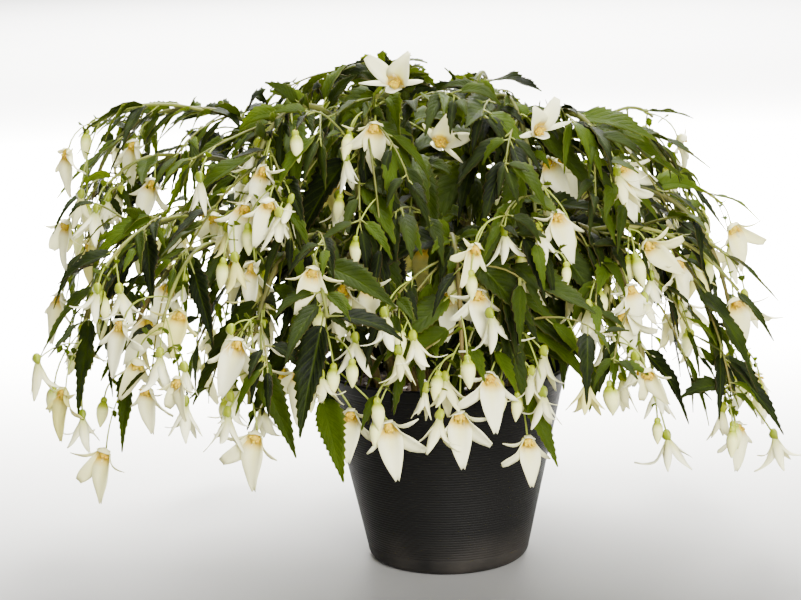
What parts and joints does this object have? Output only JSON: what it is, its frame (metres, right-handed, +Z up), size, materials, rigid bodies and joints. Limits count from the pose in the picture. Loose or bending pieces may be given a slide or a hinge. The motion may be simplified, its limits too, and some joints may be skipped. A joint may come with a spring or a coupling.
{
  "type": "potted begonia",
  "caption": "White-flowered trailing begonia with arching leafy stems and hanging blooms in a round plastic pot, standing upright.",
  "frame": {"origin": "middle of the pot's foot, on the surface that the pot stands on", "axes": "+Z up, -Y towards the front of the plant, +X to its right seen from the front"},
  "size_m": [0.64, 0.5816, 0.4328],
  "materials": {
    "pot": "satin",
    "soil": "matte",
    "foliage": "satin",
    "stem": "satin",
    "petal": "matte",
    "throat": "matte"
  },
  "bodies": {
    "root": {"pot": "pot", "soil": "soil", "leafy_stem_01": "foliage", "leafy_stem_02": "foliage", "leafy_stem_03": "foliage", "leafy_stem_04": "foliage", "leafy_stem_05": "foliage", "leafy_stem_06": "foliage", "leafy_stem_07": "foliage", "leafy_stem_08": "foliage", "leafy_stem_09": "foliage", "leafy_stem_10": "foliage", "leafy_stem_11": "foliage", "leafy_stem_12": "foliage", "leafy_stem_13": "foliage", "leafy_stem_14": "foliage", "leafy_stem_15": "foliage", "leafy_stem_16": "foliage", "leafy_stem_17": "foliage", "leafy_stem_18": "foliage", "leafy_stem_19": "foliage", "leafy_stem_20": "foliage", "leafy_stem_21": "foliage", "leafy_stem_22": "foliage"}
  },
  "joints": []
}
